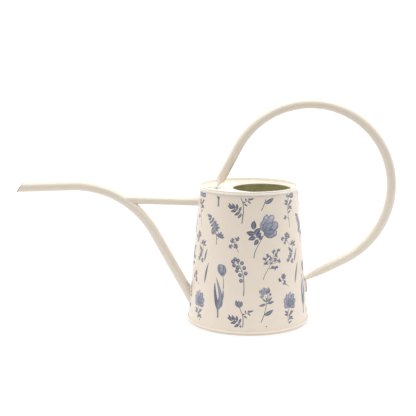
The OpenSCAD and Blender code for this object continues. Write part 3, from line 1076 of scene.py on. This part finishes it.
def draw_peony(pen):
    pen.stroke([(44.6, 27), (42.4, 20), (42.6, 13), (44, 4), (45.8, -5.2)], 0.7)
    c = Vector((44.4, 26.4))
    for k, (tip, width) in enumerate((
        ((37, 29.4), 4.8), ((53.4, 27), 4.8), ((37.2, 36), 5), ((54.2, 33.4), 5.2),
        ((40.6, 40.4), 5), ((51.6, 39.4), 5.2), ((46, 42), 5.6),
    )):
        pen.petal(c, tip, width, 0.04, 0.12 + 0.16 * (k % 2), 2 + k // 3, 2,
                  petal_shape if k % 2 else spear_shape)
    for k, (tip, width) in enumerate((((41, 33.4), 3.6), ((50, 33), 3.8), ((45.4, 36), 4.2))):
        pen.petal(c, tip, width, 0, 0.35, 6 + k, 1, spear_shape)
    pen.leaves((
        ((43, 20.4), (38, 23.2), 2.4), ((42.6, 18.6), (37.6, 19.6), 2.0),
        ((43.4, 17), (51, 22.4), 2.4), ((46.6, 19.4), (47.6, 23.4), 1.8),
        ((43, 13.4), (49.6, 16.6), 2.2), ((45.6, 14.6), (44.8, 18), 1.8),
        ((43.4, 9.6), (47.6, 12), 1.8), ((46, 15), (50.4, 13.2), 1.6),
    ), 0.05, 0.68)
    pen.stroke([(43.8, 4), (41, 5.2), (39, 5.2)], 0.45)
    pen.blossom((38.7, 5.1), 2.2, 15, 4, 0.5)


def make_print(mats):
    """The print as a thin closed film on the wall, repeated round and up the flat sheet."""
    pen = Pen()
    for draw in (draw_rose, draw_tulip, draw_fern_bud, draw_phlox, draw_berries, draw_parsley,
                 draw_small_blossoms, draw_rosette, draw_spray, draw_tall_stems, draw_peony):
        draw(pen)
    verts, faces, tones = [], [], []
    for across in range(-3, 4):
        for up in (-1, 0, 1):
            shift = Vector((across * PERIOD_U, up * PERIOD_V))
            for rows, layer in pen.shapes:
                add_inked(rows, layer, shift, verts, faces, tones)
    film = add_mesh("botanical_print", verts, faces, [mats["ink"]], sharp=60)
    tone = film.data.attributes.new("tone", "FLOAT", "POINT")
    tone.data.foreach_set("value", tones)
    return film


def add_inked(rows, layer, shift, verts, faces, tones):
    """One shape of the print: a thin plate, kept only where the print isn't cut off."""
    kept = []
    for row in rows:
        _, turn, z = rolled(*(row[len(row) // 2][0] + shift), 0)
        shown = abs(turn) < math.radians(PRINT_ROUND) and PRINT_LOW < z < PRINT_HIGH
        kept.append(row if shown else None)
    spans, start = [], None
    for i, row in enumerate(kept + [None]):
        if row is not None and start is None:
            start = i
        if row is None and start is not None:
            if i - start > 1:
                spans.append(kept[start:i])
            start = None
    for span in spans:
        n, m = len(span), len(span[0])
        first = len(verts)
        for lift in (FILM + LAYER * layer, SUNK):
            for row in span:
                for p, tone in row:
                    verts.append(rolled(*(p + shift), lift)[0])
                    tones.append(tone)
        under = first + n * m
        for i in range(n - 1):
            for j in range(m - 1):
                a = i * m + j
                quad = (a, a + 1, a + m + 1, a + m)
                faces.append(tuple(first + q for q in reversed(quad)))
                faces.append(tuple(under + q for q in quad))
        rim = [i * m for i in range(n)] + [(n - 1) * m + j for j in range(1, m)]
        rim += [i * m + m - 1 for i in range(n - 2, -1, -1)] + list(range(m - 2, 0, -1))
        for a, b in zip(rim, rim[1:] + rim[:1]):
            faces.append((first + a, first + b, under + b, under + a))


# ---- set and camera


def split_node(nodes, links, kind):
    """A place's X, Y and Z, in one kind of texture coordinates."""
    place = nodes.new("ShaderNodeTexCoord")
    split = nodes.new("ShaderNodeSeparateXYZ")
    links.new(place.outputs[kind], split.inputs["Vector"])
    return split


def make_set():
    """A pale glowing floor, a white sky that is dimmer on the camera's side, and two lamps."""
    m, nodes, links, shader = new_material("studio_floor")
    split = split_node(nodes, links, "Object")
    along = nodes.new("ShaderNodeMapRange")
    put(along, {"From Min": -0.8, "From Max": 1.2})
    links.new(split.outputs["Y"], along.inputs["Value"])
    fade = ramp_node(nodes, links, along.outputs["Result"], grey(FLOOR_FRONT), grey(FLOOR_BACK),
                     (0.05, 1.0))
    for at in (0.25, 0.6):
        fade.color_ramp.elements.new(at).color = grey(FLOOR_NEAR)
    links.new(fade.outputs["Color"], shader.inputs["Base Color"])
    links.new(fade.outputs["Color"], shader.inputs["Emission Color"])
    put(shader, {"Emission Strength": FLOOR_GLOW, "Roughness": 0.9})
    side, front, back = 9000, -6000, 30000
    verts = [(-side, front, 0), (side, front, 0), (side, back, 0), (-side, back, 0)]
    floor = add_mesh("studio_floor", verts, [(0, 1, 2, 3)], [m])

    aim = Vector((0, 0, 90))

    def lamp(name, at, size, power):
        data = bpy.data.lights.new(name, "AREA")
        data.shape = "RECTANGLE"
        data.size, data.size_y = size
        data.energy = power
        obj = bpy.data.objects.new(name, data)
        obj.location = Vector(at) * MM
        way = (aim - Vector(at)).normalized()
        obj.rotation_mode = "QUATERNION"
        obj.rotation_quaternion = way.to_track_quat("-Z", "Y")
        bpy.context.scene.collection.objects.link(obj)

    lamp("overhead", (-40, 250, 1150), (1.6, 1.0), OVERHEAD)
    lamp("strip", (0, -330, 1060), (1.4, 0.3), STRIP)

    world = bpy.data.worlds.new("studio")
    bpy.context.scene.world = world
    world.use_nodes = True
    nodes, links = world.node_tree.nodes, world.node_tree.links
    sky = nodes["Background"]
    split = split_node(nodes, links, "Generated")

    def ramp(axis, lo, hi, at_lo, at_hi):
        node = nodes.new("ShaderNodeMapRange")
        node.interpolation_type = "SMOOTHSTEP"
        put(node, {"From Min": lo, "From Max": hi, "To Min": at_lo, "To Max": at_hi})
        links.new(split.outputs[axis], node.inputs["Value"])
        return node

    level = ramp("Y", -1.0, 0.6, SKY_FRONT, SKY_BACK)
    top = ramp("Z", 0.1, 0.9, 0.0, SKY_TOP)
    both = nodes.new("ShaderNodeMath")
    links.new(level.outputs["Result"], both.inputs[0])
    links.new(top.outputs["Result"], both.inputs[1])
    links.new(both.outputs["Value"], sky.inputs["Strength"])
    put(sky, {"Color": grey(1)})


def make_camera():
    data = bpy.data.cameras.new("camera")
    data.lens = LENS
    data.sensor_width = SENSOR
    data.clip_start, data.clip_end = 0.05, 50
    cam = bpy.data.objects.new("camera", data)
    cam.location = CAMERA_AT
    cam.rotation_euler = (math.radians(90 - LOOKS_DOWN), 0, 0)
    bpy.context.scene.collection.objects.link(cam)
    bpy.context.scene.camera = cam


def main():
    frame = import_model()
    mats = make_materials()
    body, base, top = make_body(mats), make_base(mats), make_top(mats)
    spout, brace, handle = make_spout(mats), make_brace(mats), make_handle(mats)
    spout_bead = make_spout_weld(mats)
    brace_body_bead, brace_spout_bead = make_brace_welds(mats)
    lower_bead, upper_bead = make_handle_welds(mats)
    film = make_print(mats)
    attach(film, "root")
    for obj, node, slot in (
        (body, "body_shell", "printed_enamel"),
        (base, "base_plate", "cream_enamel"),
        (top, "top_plate", "cream_enamel"),
        (spout, "spout_tube", "tube_enamel"),
        (spout_bead, "spout_weld", "cream_enamel"),
        (brace, "brace_tube", "tube_enamel"),
        (brace_body_bead, "brace_body_weld", "cream_enamel"),
        (brace_spout_bead, "brace_spout_weld", "tube_enamel"),
        (handle, "handle_tube", "tube_enamel"),
        (lower_bead, "handle_lower_weld", "cream_enamel"),
        (upper_bead, "handle_upper_weld", "cream_enamel"),
    ):
        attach(obj, "root")
        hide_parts(node)
    seal = frame["nodes"]["base_seal"]
    seal.data.materials.clear()
    seal.data.materials.append(mats["seal"])
    make_set()
    make_camera()
    bpy.context.scene.view_settings.view_transform = "Standard"


main()
